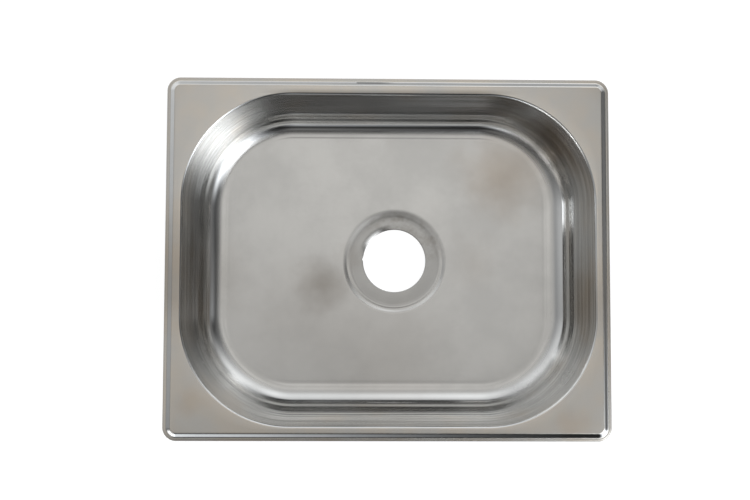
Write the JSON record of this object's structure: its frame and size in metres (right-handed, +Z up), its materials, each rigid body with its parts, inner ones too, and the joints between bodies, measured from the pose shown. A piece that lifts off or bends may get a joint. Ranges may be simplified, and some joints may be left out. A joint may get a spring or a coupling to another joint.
{
  "type": "inset sink bowl",
  "caption": "Shallow rectangular inset sink bowl drawn from stainless sheet, with a stepped rim that rests on a worktop and a round waste hole in a dished recess.",
  "frame": {"origin": "middle of the rim's seat, the flat underside of the rim's edge that rests on the worktop", "axes": "+X along the bowl's long side, +Y across it, +Z up out of the basin"},
  "size_m": [0.325, 0.265, 0.0669],
  "materials": {
    "stainless_sheet": "satin",
    "seal": "matt"
  },
  "bodies": {
    "root": {"bowl": "stainless_sheet", "rim_seal": "seal"}
  },
  "joints": []
}
